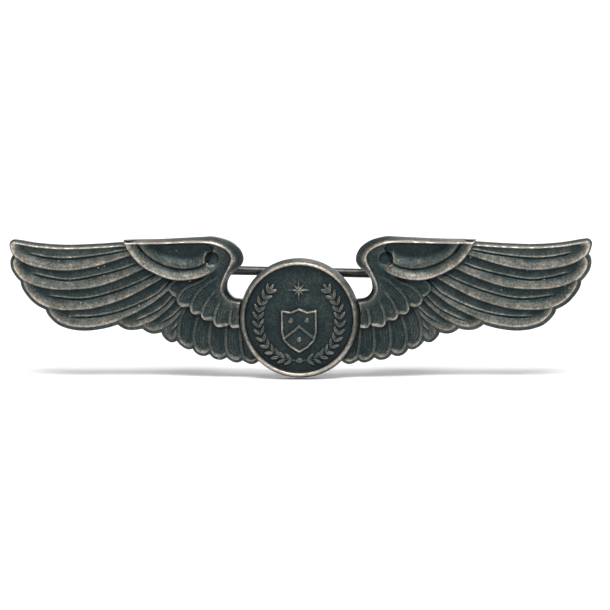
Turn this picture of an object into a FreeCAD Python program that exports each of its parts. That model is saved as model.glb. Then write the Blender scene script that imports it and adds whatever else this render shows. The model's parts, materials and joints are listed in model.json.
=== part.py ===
"""Winged badge with a rotating safety catch: two struck wings, a round centre disc and a pin back.

Millimetres. +X along the span, +Z up, +Y out of the back, and the front faces -Y. The origin is on the
disc's axis, in the rear face of the bridge plate, where the cloth lies. Everything is drawn with Y = 0 in
the plane of the wings' backs and moved forward at the end. Each sub-part goes to parts/NODE.step.
"""

import FreeCAD, Part
import math
import os
from FreeCAD import Placement, Rotation, Vector

os.makedirs("parts", exist_ok=True)

# Wings: depths are measured forward from the back plane. Points are (outward, up).
HALF_SPAN = 38.1        # half of the badge's 3 in
DRAWN_HALF_SPAN = 38.3  # half span of the curves below
WING_DROP = 0.15        # the wings sit this much lower against the disc than drawn
FLANGE_DEPTH = 0.9      # the thin edge that runs round each wing
SHORT_STEP = 0.05       # each short feather stands this much above its neighbour
MIDDLE_GAP = 0.1        # between the two wings, behind the disc
CUT_REACH = 10.0        # cutting tools run on this far past the metal

# Disc.
DISC_BACK = 1.2         # the tongues of the wings are this thick under it
DISC_R = 7.85
DISC_GAP = 0.05         # round the disc, where the wings are cut down for it
RIM_R = 7.6
RIM_TOP_R = 7.28
RIM_TOP_HALF = 0.15
FIELD_R = 6.95
RIM_DEPTH = 3.0
WALL_DEPTH = 2.7
FIELD_DEPTH = 2.4
DEVICE_ROOT = 0.1       # the device's shapes start this far under the field
SHIELD_HALF = 2.2       # the device: a plain shield, a laurel ring open at the top and a round boss
SHIELD_TOP_Z = 0.95
SHIELD_SIDE_Z = -1.7    # where the sides start to curve in
SHIELD_POINT_Z = -4.3
SHIELD_HEIGHT = 0.3     # above the field
LAUREL_R = 5.3
LAUREL_WIDTH = 1.3
LAUREL_OPENING_DEG = 84.0
LAUREL_HEIGHT = 0.2
BOSS_Z = 3.75
BOSS_R = 1.8
BOSS_HEIGHT = 0.2

# Bridge plate and the rivets that hold the disc.
BRIDGE_HALF_X = 5.6
BRIDGE_LOW_Z = -2.8
BRIDGE_HIGH_Z = 1.6
BRIDGE_THICK = 0.6
BRIDGE_CORNER_R = 0.9
RIVET_X = 3.4
RIVET_Z = -0.6
RIVET_R = 0.5
RIVET_HOLE_R = 0.52
RIVET_HEAD_R = 0.9
RIVET_HEAD_DEPTH = 0.35  # countersunk, so the cloth lies flat on the plate

# Pin back. It is drawn in its own frame: origin on the pin's axis over the disc's middle, +X to the point.
STEM_STANDOFF = 2.3     # pin axis from the back plane
STEM_Z = 5.65           # height of the pin axis over the disc's centre
STEM_TILT_DEG = 1.3     # the catch sits a little lower than the hinge
HINGE_X = -16.0
CATCH_X = 15.2
PAD_R = 2.3
PAD_THICK = 0.4
SOLDER_WIDTH = 0.25
EAR_THICK = 0.6
EAR_GAP = 1.7           # between the ears
EAR_TOP_R = 1.1
EAR_FOOT_HALF = 1.5
BRACKET_BASE_THICK = 0.5
HINGE_PIN_R = 0.37
EAR_HOLE_R = 0.39
HINGE_HEAD_R = 0.7
HINGE_HEAD_HEIGHT = 0.35
KNUCKLE_R = 1.0
KNUCKLE_HALF = 0.8
KNUCKLE_ROUND = 0.15
KNUCKLE_BORE_R = 0.41
NECK_R = 0.8
NECK_START = 0.5        # from the hinge axis, inside the eye
NECK_END = 2.6          # from the hinge axis
WIRE_R = 0.6
WIRE_START = 1.8        # from the hinge axis, inside the neck
WIRE_END = 10.0         # where the taper starts
TAPER_R = 0.35
TAPER_END = 16.8
POINT_R = 0.05
POINT_END = 18.7

# Catch: a C-shaped housing that holds a slotted barrel.
HOUSING_HALF = 1.2
HOUSING_INNER_R = 1.16
HOUSING_OUTER_R = 1.7
HOUSING_MOUTH_HALF = 0.75
HOUSING_FOOT_HALF = 1.0
BARREL_INNER_R = 0.68
BARREL_OUTER_R = 1.1
BARREL_SLOT_HALF = 0.66
COLLAR_R = 1.5
COLLAR_GAP = 0.1        # along the pin, between collar and housing
COLLAR_THICK = 0.6
TAB_COLLAR_THICK = 0.8
TAB_REACH = 3.1         # from the pin's axis to the tab's tip
TAB_THICK = 0.5
TAB_TIP_R = 0.35
TAB_ANGLE_DEG = 60.0    # from straight back towards +Z, with the catch open

# One wing's outer edge as arcs: each pair is a point on the arc and its end.
EDGE_START = (6.9, 2.75)
EDGE_ARCS = [
    ((8.7, 2.85), (9.3, 4.1)),         # bay beside the disc
    ((9.0, 5.5), (7.9, 6.7)),          # neck
    ((7.4, 7.9), (7.9, 9.2)),          # wrist
    ((9.2, 10.3), (11.3, 10.75)),
    ((17.0, 10.6), (22.9, 10.4)),      # top of the shoulder
]
TOP_EDGE_START = (23.0, 10.1)
TOP_EDGE_ARCS = [
    ((30.4, 9.7), (36.9, 10.4)),       # leading edge
    ((38.0, 9.7), (37.75, 8.3)),       # tips of the four long feathers
    ((37.75, 6.7), (36.8, 5.1)),
    ((36.1, 3.1), (33.8, 1.45)),
    ((32.2, -0.3), (29.5, -1.4)),
    ((26.8, -1.4), (24.3, -0.75)),
    ((22.3, -1.45), (20.6, -1.4)),     # two shorter ones
    ((19.4, -2.0), (18.3, -1.9)),
    ((17.5, -3.1), (16.4, -2.95)),     # the lower row of short feathers
    ((15.3, -4.05), (14.2, -4.0)),
    ((13.3, -4.95), (12.1, -4.8)),
    ((11.0, -5.55), (9.9, -5.3)),
    ((8.8, -5.9), (7.7, -5.65)),
    ((6.8, -6.05), (5.6, -5.5)),
]
TONGUE_LOW_Z = -4.6
TONGUE_HIGH_Z = 2.2

# Feathers, lowest first: depth, then the curve of the visible edge, then corners hidden by neighbours.
LONG_FEATHERS = [
    (1.26, [(18.0, -1.2), (17.85, -2.1), (17.0, -2.8), (16.2, -2.4), (15.6, -1.2)],
     [(15.5, 1.0), (18.5, 0.0)]),
    (1.32, [(20.8, -0.3), (20.45, -1.15), (19.2, -1.62), (17.3, -0.95), (15.7, 0.5), (15.0, 1.3)],
     [(15.0, 4.0), (21.5, 1.5)]),
    (1.4, [(24.2, 0.4), (23.9, -0.4), (22.7, -1.08), (21.0, -0.95), (19.0, -0.1), (17.0, 1.5), (16.0, 2.7)],
     [(16.0, 6.0), (25.0, 2.0)]),
    (1.5, [(33.3, 1.9), (32.9, 0.7), (31.6, -0.5), (29.5, -1.1), (27.0, -1.05), (24.0, -0.3), (20.0, 1.6),
           (17.0, 3.8)], [(16.5, 6.5), (33.0, 3.5)]),
    (1.6, [(36.5, 5.6), (36.2, 4.1), (34.7, 2.3), (32.5, 1.32), (30.0, 1.12), (27.0, 1.42), (23.0, 2.65),
           (19.0, 4.7), (16.5, 6.3)], [(17.5, 8.0), (36.0, 7.0)]),
    (1.7, [(37.3, 8.5), (37.75, 7.6), (37.5, 6.4), (36.3, 5.05), (34.0, 4.15), (31.0, 3.83), (27.0, 4.15),
           (23.0, 5.45), (19.5, 7.0)], [(20.5, 8.8), (36.5, 9.0)]),
    (1.82, [(21.8, 10.0), (27.0, 9.66), (31.0, 9.55), (34.5, 9.8), (37.0, 10.2), (37.95, 10.2), (38.1, 9.5),
            (37.3, 8.1), (35.0, 6.95), (31.0, 6.38), (27.0, 6.88), (22.0, 8.4)], []),
]
LOWER_ROW_DEPTH = 1.36
LOWER_ROW = [
    ([(15.2, 1.8), (15.9, 0.3), (16.2, -1.5), (15.9, -2.9), (14.7, -3.75), (13.6, -3.1)],
     [(12.0, -2.0), (12.0, 2.0)]),
    ([(13.4, 1.0), (14.0, -0.8), (14.25, -2.6), (13.7, -4.15), (12.6, -4.6), (11.4, -3.8)],
     [(10.5, -3.0), (10.5, 1.0)]),
    ([(11.8, 0.3), (12.1, -1.4), (12.15, -3.3), (11.5, -4.75), (10.4, -5.1), (9.2, -4.3)],
     [(8.0, -3.0), (8.0, 0.0)]),
    ([(9.8, -0.4), (10.0, -2.2), (9.9, -4.2), (9.2, -5.15), (8.2, -5.45), (7.1, -4.6)],
     [(6.0, -3.0), (6.0, 0.0)]),
    ([(8.0, -1.0), (8.05, -2.8), (7.75, -4.8), (7.0, -5.5), (6.2, -5.65), (5.2, -5.0)],
     [(4.5, -4.0), (4.5, 0.0)]),
]
UPPER_ROW_DEPTH = 1.64
UPPER_ROW = [
    ([(15.6, 5.9), (17.0, 4.9), (17.35, 4.1), (16.95, 3.35), (16.1, 2.85), (15.2, 3.0)],
     [(14.0, 3.5), (14.0, 6.3)]),
    ([(12.2, 5.9), (13.4, 5.1), (14.8, 4.5), (15.8, 3.65), (16.25, 2.75), (15.95, 1.95), (15.2, 1.55),
      (14.2, 1.7)], [(12.5, 3.0), (11.2, 6.4)]),
    ([(10.9, 5.7), (12.1, 5.0), (13.2, 4.1), (14.05, 3.0), (14.45, 1.9), (14.4, 1.1), (13.85, 0.6),
      (12.8, 0.65)], [(11.0, 2.0), (10.4, 5.4)]),
    ([(10.2, 5.0), (11.3, 3.85), (12.3, 2.6), (12.95, 1.3), (13.0, 0.45), (12.5, -0.15), (11.3, -0.2)],
     [(9.9, 1.5), (9.9, 4.7)]),
    ([(9.8, 4.0), (10.6, 2.6), (11.2, 1.3), (11.45, 0.2), (11.3, -0.65), (10.7, -1.1), (9.5, -0.95)],
     [(8.4, 0.5), (9.6, 3.7)]),
    ([(8.3, 2.4), (9.1, 1.4), (9.4, 0.3), (9.35, -0.6), (8.8, -1.2), (7.6, -1.15)],
     [(5.5, -1.0), (5.5, 2.1)]),
]

# Shoulder: a raised band round a hollow drop, with a scroll eye at its inner end.
SHOULDER_DEPTH = 2.2
SHOULDER_EDGE = [(22.7, 10.1), (22.4, 9.0), (21.0, 7.2), (19.0, 6.0), (17.0, 5.25), (15.2, 5.08), (13.3, 5.4),
                 (11.6, 5.9), (10.2, 4.7)]
SHOULDER_INNER = [(9.85, 4.6), (8.8, 7.8), (9.9, 9.55), (11.6, 10.12), (14.0, 10.2)]
DROP_DEPTH = 1.9
DROP_EDGE = [(21.4, 9.8), (20.5, 8.8), (19.0, 7.62), (17.0, 6.78), (15.0, 6.5), (13.2, 6.8), (11.6, 7.3),
             (10.5, 8.1), (10.9, 9.1), (13.0, 9.75)]
EYE = (11.45, 7.95)
EYE_R = 0.8
EYE_DEPTH = 1.6


def arc_wire(side, start, arcs, corners=(), close=True):
    """A wire in the back plane from start through arcs, then straight to each corner."""
    def at(p):
        return Vector(side * p[0], 0, p[1] - WING_DROP)
    edges = []
    here = start
    for middle, end in arcs:
        edges.append(Part.Arc(at(here), at(middle), at(end)).toShape())
        here = end
    for corner in list(corners) + ([start] if close else []):
        if corner != here:
            edges.append(Part.LineSegment(at(here), at(corner)).toShape())
            here = corner
    return Part.Wire(edges)


def curve_wire(side, edge, corners=()):
    """A closed wire in the back plane: a smooth curve through edge, then straight through the corners."""
    fit = HALF_SPAN / DRAWN_HALF_SPAN
    points = [Vector(side * x * fit, 0, z * fit - WING_DROP) for x, z in list(edge) + list(corners)]
    curve = Part.BSplineCurve()
    curve.interpolate(points[:len(edge)])
    straight = Part.makePolygon(points[len(edge) - 1:] + points[:1])
    return Part.Wire([curve.toShape()] + straight.Edges)


def forward(wire, low, high):
    """The prism of a closed wire in the back plane, from depth low to depth high in front of it."""
    face = Part.Face(wire)
    face.translate(Vector(0, -low, 0))
    return face.extrude(Vector(0, low - high, 0))


def rod(radius, y0, y1, x=0.0, z=0.0):
    """A cylinder along Y."""
    return Part.makeCylinder(radius, y1 - y0, Vector(x, y0, z), Vector(0, 1, 0))


def lathe_y(points):
    """A solid turned about the Y axis from (radius, y) points."""
    edge = [Vector(r, y, 0) for r, y in points]
    face = Part.Face(Part.makePolygon(edge + edge[:1]))
    return face.revolve(Vector(0, 0, 0), Vector(0, 1, 0), 360)


def wing_edge(side):
    """The wing's whole outline, with the tongue that runs under the disc."""
    top = arc_wire(side, EDGE_START, EDGE_ARCS, [TOP_EDGE_START], close=False)
    inner = MIDDLE_GAP / 2
    corners = [(inner, TONGUE_LOW_Z), (inner, TONGUE_HIGH_Z), EDGE_START]
    rest = arc_wire(side, TOP_EDGE_START, TOP_EDGE_ARCS, corners, close=False)
    return Part.Wire(top.Edges + rest.Edges)


def wing(side):
    """One struck wing: the thin flange, stepped feathers and the shoulder, cut down under the disc."""
    shape = forward(wing_edge(side), 0, FLANGE_DEPTH)
    steps = [(depth, edge, corners) for depth, edge, corners in LONG_FEATHERS]
    for first, row in ((LOWER_ROW_DEPTH, LOWER_ROW), (UPPER_ROW_DEPTH, UPPER_ROW)):
        steps += [(first + k * SHORT_STEP, edge, corners) for k, (edge, corners) in enumerate(row)]
    steps.append((SHOULDER_DEPTH, SHOULDER_EDGE, SHOULDER_INNER))
    for depth, edge, corners in steps:
        shape = shape.fuse(forward(curve_wire(side, edge, corners), 0, depth))
    shape = shape.cut(forward(curve_wire(side, DROP_EDGE), DROP_DEPTH, CUT_REACH))
    eye_x, eye_z = side * EYE[0], EYE[1] - WING_DROP
    shape = shape.cut(rod(EYE_R, -CUT_REACH, -EYE_DEPTH, eye_x, eye_z))
    shape = shape.cut(rod(DISC_R + DISC_GAP, -CUT_REACH, -DISC_BACK))
    shape = shape.cut(rod(RIVET_HOLE_R, -CUT_REACH, CUT_REACH, side * RIVET_X, RIVET_Z))
    return shape.removeSplitter()


def shield_wire():
    """The shield's outline: straight top and sides, curving in to a point."""
    top = [Vector(x, 0, SHIELD_TOP_Z) for x in (-SHIELD_HALF, SHIELD_HALF)]
    foot = [Vector(x, 0, SHIELD_SIDE_Z) for x in (-SHIELD_HALF, SHIELD_HALF)]
    point = Vector(0, 0, SHIELD_POINT_Z)
    bulge_x = 0.7 * SHIELD_HALF
    bulge_z = SHIELD_SIDE_Z + 0.6 * (SHIELD_POINT_Z - SHIELD_SIDE_Z)
    return Part.Wire([
        Part.makeLine(top[0], top[1]),
        Part.makeLine(top[1], foot[1]),
        Part.Arc(foot[1], Vector(bulge_x, 0, bulge_z), point).toShape(),
        Part.Arc(point, Vector(-bulge_x, 0, bulge_z), foot[0]).toShape(),
        Part.makeLine(foot[0], top[0]),
    ])


def laurel_ring():
    """The band that the laurel's leaves fill, open at the top, as a closed wire."""
    half_opening = math.radians(LAUREL_OPENING_DEG / 2)

    def at(radius, angle):
        return Vector(radius * math.sin(angle), 0, radius * math.cos(angle))
    inner, outer = LAUREL_R - LAUREL_WIDTH / 2, LAUREL_R + LAUREL_WIDTH / 2
    ends = (half_opening, 2 * math.pi - half_opening)
    return Part.Wire([
        Part.Arc(at(outer, ends[0]), at(outer, math.pi), at(outer, ends[1])).toShape(),
        Part.makeLine(at(outer, ends[1]), at(inner, ends[1])),
        Part.Arc(at(inner, ends[1]), at(inner, math.pi), at(inner, ends[0])).toShape(),
        Part.makeLine(at(inner, ends[0]), at(outer, ends[0])),
    ])


def device():
    """The generic device on the field, as plain raised shapes."""
    low = FIELD_DEPTH - DEVICE_ROOT
    return [
        forward(shield_wire(), low, FIELD_DEPTH + SHIELD_HEIGHT),
        forward(laurel_ring(), low, FIELD_DEPTH + LAUREL_HEIGHT),
        rod(BOSS_R, -FIELD_DEPTH - BOSS_HEIGHT, -low, 0.0, BOSS_Z),
    ]


def centre_disc():
    """The disc: back, drafted wall, round rim, sunk field and device."""
    profile = [
        (0, -DISC_BACK), (DISC_R, -DISC_BACK), (RIM_R, -WALL_DEPTH), (RIM_TOP_R + RIM_TOP_HALF, -RIM_DEPTH),
        (RIM_TOP_R - RIM_TOP_HALF, -RIM_DEPTH), (FIELD_R, -FIELD_DEPTH), (0, -FIELD_DEPTH),
    ]
    shape = lathe_y(profile)
    for piece in device():
        shape = shape.fuse(piece)
    return shape.removeSplitter()


def bridge_plate():
    """The plate across the backs of both tongues."""
    height = BRIDGE_HIGH_Z - BRIDGE_LOW_Z
    plate = Part.makeBox(2 * BRIDGE_HALF_X, BRIDGE_THICK, height, Vector(-BRIDGE_HALF_X, 0, BRIDGE_LOW_Z))
    corners = [e for e in plate.Edges if abs(e.Vertexes[0].Y - e.Vertexes[-1].Y) > BRIDGE_THICK / 2]
    plate = plate.makeFillet(BRIDGE_CORNER_R, corners)
    for side in (-1, 1):
        plate = plate.cut(rod(RIVET_HOLE_R, -CUT_REACH, CUT_REACH, side * RIVET_X, RIVET_Z))
        plate = plate.cut(rivet_head(side))
    return plate


def rivet_head(side):
    """The countersunk head of one disc rivet, flush with the bridge plate's rear."""
    base = Vector(side * RIVET_X, BRIDGE_THICK - RIVET_HEAD_DEPTH, RIVET_Z)
    return Part.makeCone(RIVET_R, RIVET_HEAD_R, RIVET_HEAD_DEPTH, base, Vector(0, 1, 0))


def dome(radius, height, base, axis):
    """A low domed head on a base point, standing along axis."""
    ball_r = (radius ** 2 + height ** 2) / (2 * height)
    ball = Part.makeSphere(ball_r, base + axis * (height - ball_r))
    return ball.common(Part.makeCylinder(radius, height, base, axis))


def disc_rivets():
    """Two rivets from the disc's back, spread into the bridge plate's countersinks."""
    pegs = []
    for side in (-1, 1):
        shank = rod(RIVET_R, -DISC_BACK, BRIDGE_THICK - RIVET_HEAD_DEPTH / 2, side * RIVET_X, RIVET_Z)
        pegs.append(shank.fuse(rivet_head(side)))
    return Part.makeCompound(pegs)


def placed(shape):
    """Moves a pin-back piece from its own frame to the badge's."""
    shape = shape.copy()
    move = Placement(Vector(0, STEM_STANDOFF, STEM_Z), Rotation(Vector(0, 1, 0), STEM_TILT_DEG))
    shape.Placement = move.multiply(shape.Placement)
    return shape


PAD_Y = -STEM_STANDOFF
PAD_TOP_Y = PAD_Y + PAD_THICK


def pad(x):
    """A round foot soldered to a wing's back, its rim eased."""
    disc = rod(PAD_R, PAD_Y, PAD_TOP_Y, x)
    rim = [e for e in disc.Edges if abs(e.BoundBox.YMin - PAD_TOP_Y) < 1e-6]
    return disc.makeChamfer(PAD_THICK / 4, rim)


def solder_fillets():
    """The run of solder round each pad."""
    rings = []
    for x in (HINGE_X, CATCH_X):
        ring = lathe_y([(PAD_R, 0), (PAD_R + SOLDER_WIDTH, 0), (PAD_R, SOLDER_WIDTH)])
        ring.translate(Vector(x, PAD_Y, 0))
        rings.append(ring)
    return Part.makeCompound(rings)


def joint_bracket():
    """A strip folded into two ears, with a hole through both for the hinge pin."""
    outer = EAR_GAP / 2 + EAR_THICK
    profile = Part.Wire([
        Part.makeLine(Vector(-EAR_FOOT_HALF, PAD_TOP_Y, 0), Vector(-EAR_TOP_R, 0, 0)),
        Part.Arc(Vector(-EAR_TOP_R, 0, 0), Vector(0, EAR_TOP_R, 0), Vector(EAR_TOP_R, 0, 0)).toShape(),
        Part.makeLine(Vector(EAR_TOP_R, 0, 0), Vector(EAR_FOOT_HALF, PAD_TOP_Y, 0)),
        Part.makeLine(Vector(EAR_FOOT_HALF, PAD_TOP_Y, 0), Vector(-EAR_FOOT_HALF, PAD_TOP_Y, 0)),
    ])
    solid = Part.Face(profile).extrude(Vector(0, 0, 2 * outer))
    solid.translate(Vector(0, 0, -outer))
    fold = [e for e in solid.Edges
            if abs(e.BoundBox.YMax - PAD_TOP_Y) < 1e-6 and e.BoundBox.XLength > EAR_FOOT_HALF]
    solid = solid.makeFillet(BRACKET_BASE_THICK / 2, fold)
    gap_corner = Vector(-CUT_REACH, PAD_TOP_Y + BRACKET_BASE_THICK, -EAR_GAP / 2)
    gap = Part.makeBox(2 * CUT_REACH, CUT_REACH, EAR_GAP, gap_corner)
    hole = Part.makeCylinder(EAR_HOLE_R, 4 * outer, Vector(0, 0, -2 * outer))
    bracket = solid.cut(gap).cut(hole)
    bracket.translate(Vector(HINGE_X, 0, 0))
    return bracket


def hinge_rivet():
    """The hinge pin through the ears, headed at both ends."""
    outer = EAR_GAP / 2 + EAR_THICK
    shape = Part.makeCylinder(HINGE_PIN_R, 2 * outer, Vector(0, 0, -outer))
    for way in (-1, 1):
        head = dome(HINGE_HEAD_R, HINGE_HEAD_HEIGHT, Vector(0, 0, way * outer), Vector(0, 0, way))
        shape = shape.fuse(head)
    shape.translate(Vector(HINGE_X, 0, 0))
    return shape


def pin_knuckle():
    """The eye that turns on the hinge pin, with the neck that grips the wire."""
    eye = Part.makeCylinder(KNUCKLE_R, 2 * KNUCKLE_HALF, Vector(0, 0, -KNUCKLE_HALF))
    eye = eye.makeFillet(KNUCKLE_ROUND, [e for e in eye.Edges if e.Curve.TypeId == "Part::GeomCircle"])
    neck = along_x(NECK_R, NECK_START, NECK_END)
    shape = eye.fuse(neck)
    shape = shape.cut(Part.makeCylinder(KNUCKLE_BORE_R, 4 * KNUCKLE_HALF, Vector(0, 0, -2 * KNUCKLE_HALF)))
    shape = shape.cut(along_x(WIRE_R, WIRE_START, CUT_REACH))
    shape.translate(Vector(HINGE_X, 0, 0))
    return shape


def pin_stem():
    """The wire: straight from the neck, tapered through the catch to a point."""
    start = HINGE_X + WIRE_START
    wire = along_x(WIRE_R, start, WIRE_END)
    taper = Part.makeCone(WIRE_R, TAPER_R, TAPER_END - WIRE_END, Vector(WIRE_END, 0, 0), Vector(1, 0, 0))
    point = Part.makeCone(TAPER_R, POINT_R, POINT_END - TAPER_END, Vector(TAPER_END, 0, 0), Vector(1, 0, 0))
    return wire.fuse(taper).fuse(point)


def along_x(radius, x0, x1):
    """A cylinder along the pin's axis."""
    return Part.makeCylinder(radius, x1 - x0, Vector(x0, 0, 0), Vector(1, 0, 0))


def catch_housing():
    """The fixed C-shaped band, open to the back, on its foot."""
    x0, x1 = CATCH_X - HOUSING_HALF, CATCH_X + HOUSING_HALF
    foot = Part.makeBox(x1 - x0, STEM_STANDOFF - PAD_THICK, 2 * HOUSING_FOOT_HALF,
                        Vector(x0, PAD_TOP_Y, -HOUSING_FOOT_HALF))
    band = along_x(HOUSING_OUTER_R, x0, x1).fuse(foot)
    mouth = Part.makeBox(x1 - x0, CUT_REACH, 2 * HOUSING_MOUTH_HALF, Vector(x0, 0, -HOUSING_MOUTH_HALF))
    return band.cut(along_x(HOUSING_INNER_R, x0 - 1, x1 + 1)).cut(mouth).removeSplitter()


def catch_lock():
    """The slotted barrel that turns in the housing, with a collar each side and a thumb tab."""
    x0, x1 = CATCH_X - HOUSING_HALF - COLLAR_GAP, CATCH_X + HOUSING_HALF + COLLAR_GAP
    start, end = x0 - COLLAR_THICK, x1 + TAB_COLLAR_THICK
    barrel = along_x(BARREL_OUTER_R, start, end)
    barrel = barrel.fuse(along_x(COLLAR_R, start, x0)).fuse(along_x(COLLAR_R, x1, end))
    tab = Part.makeBox(TAB_COLLAR_THICK, TAB_REACH - BARREL_OUTER_R, TAB_THICK,
                       Vector(x1, BARREL_OUTER_R, -TAB_THICK / 2))
    tip = along_x(TAB_TIP_R, x1, end)
    tip.translate(Vector(0, TAB_REACH - TAB_TIP_R, 0))
    thumb = tab.fuse(tip)
    thumb.rotate(Vector(0, 0, 0), Vector(1, 0, 0), TAB_ANGLE_DEG)
    slot = Part.makeBox(end - start, BARREL_OUTER_R + COLLAR_R, 2 * BARREL_SLOT_HALF,
                        Vector(start, 0, -BARREL_SLOT_HALF))
    shape = barrel.fuse(thumb).cut(along_x(BARREL_INNER_R, start - 1, end + 1))
    return shape.cut(slot).removeSplitter()


NODES = {
    "left_wing": wing(-1),
    "right_wing": wing(1),
    "centre_disc": centre_disc(),
    "bridge_plate": bridge_plate(),
    "disc_rivets": disc_rivets(),
    "joint_pad": placed(pad(HINGE_X)),
    "catch_pad": placed(pad(CATCH_X)),
    "solder_fillets": placed(solder_fillets()),
    "joint_bracket": placed(joint_bracket()),
    "hinge_rivet": placed(hinge_rivet()),
    "pin_knuckle": placed(pin_knuckle()),
    "pin_stem": placed(pin_stem()),
    "catch_housing": placed(catch_housing()),
    "catch_lock": placed(catch_lock()),
}

for name, shape in NODES.items():
    shape.translate(Vector(0, -BRIDGE_THICK, 0))
    shape.exportStep("parts/" + name + ".step")
    print(name, "valid" if shape.isValid() else "NOT VALID", len(shape.Solids), "solids,",
          round(shape.Volume, 2), "mm3")
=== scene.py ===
"""Looks of the winged badge: struck relief for the wings and disc, toned silver, studio floor and light.

Relief is drawn in millimetres on one wing as (outward, up) points and mirrored for the other wing. Heights
are measured forward from the plane of the wings' backs.
"""
import json
import math

import bpy
import numpy as np
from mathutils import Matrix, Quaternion, Vector


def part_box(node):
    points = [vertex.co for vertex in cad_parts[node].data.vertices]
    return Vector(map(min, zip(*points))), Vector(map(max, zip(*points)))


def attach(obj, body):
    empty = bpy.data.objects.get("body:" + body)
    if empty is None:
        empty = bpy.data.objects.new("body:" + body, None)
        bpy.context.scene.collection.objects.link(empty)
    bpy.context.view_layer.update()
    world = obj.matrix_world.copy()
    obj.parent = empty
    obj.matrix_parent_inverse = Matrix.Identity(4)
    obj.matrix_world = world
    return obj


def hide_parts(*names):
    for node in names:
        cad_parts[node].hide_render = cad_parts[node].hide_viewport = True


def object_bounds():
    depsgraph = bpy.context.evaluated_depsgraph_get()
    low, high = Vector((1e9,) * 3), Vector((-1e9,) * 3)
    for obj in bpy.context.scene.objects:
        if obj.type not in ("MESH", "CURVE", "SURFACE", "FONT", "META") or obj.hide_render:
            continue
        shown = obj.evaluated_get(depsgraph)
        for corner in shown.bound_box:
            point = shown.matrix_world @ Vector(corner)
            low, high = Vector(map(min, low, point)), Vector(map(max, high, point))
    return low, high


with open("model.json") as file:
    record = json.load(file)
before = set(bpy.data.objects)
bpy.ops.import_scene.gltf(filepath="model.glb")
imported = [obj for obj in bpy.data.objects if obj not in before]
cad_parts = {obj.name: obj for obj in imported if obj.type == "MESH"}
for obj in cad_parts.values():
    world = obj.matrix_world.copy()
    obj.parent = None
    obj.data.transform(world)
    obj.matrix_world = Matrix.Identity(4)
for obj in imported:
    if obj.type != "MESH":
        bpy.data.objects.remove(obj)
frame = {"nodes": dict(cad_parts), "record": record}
cad_low, cad_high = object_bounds()

MM = 0.001
wing_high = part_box("right_wing")[1]
disc_low, disc_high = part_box("centre_disc")
BACK_Y = wing_high.y / MM                # the wings' back plane in the row frame
DISC_R = disc_high.x / MM
DISC_BACK = BACK_Y - disc_high.y / MM    # the wings' tongues are this thick under the disc
RIM_DEPTH = BACK_Y - disc_low.y / MM
DISC_CLEAR = 0.06        # the wings drop to their tongues this far outside the disc
DRAWN_HALF_SPAN = 38.316                 # half span of the wing at the scale of the curves below
FIT = wing_high.x / MM / DRAWN_HALF_SPAN
WING_DROP = 0.15         # the wings sit this much lower against the disc than drawn

WING_STEP = 0.067        # grid spacing of the relief, mm
WING_SPAN = (-0.1, 38.6)  # the grid's reach outward and upward, a little past the wing
WING_RISE = (-6.6, 11.2)
FLANGE = 0.9             # height of the thin edge round each wing
EDGE_ROUND = 0.14
UNEVEN = 0.008           # typical dent in the struck surface
BACK_PAINTED_LIGHT = 0.05         # painted light: the wear value for the flat backs, which the side walls blend into from the front, so that the walls, the top edge's among them, look lit
SHARP_ANGLE = math.radians(55)
MARGIN = 1.0             # worked on round a shape when it is laid over the others
BLEND = 0.06             # half width of the blend where one shape overlaps the next
RELIEF_BLUR = 0.7        # grid steps
TONE_BLUR = 1.5

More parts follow.
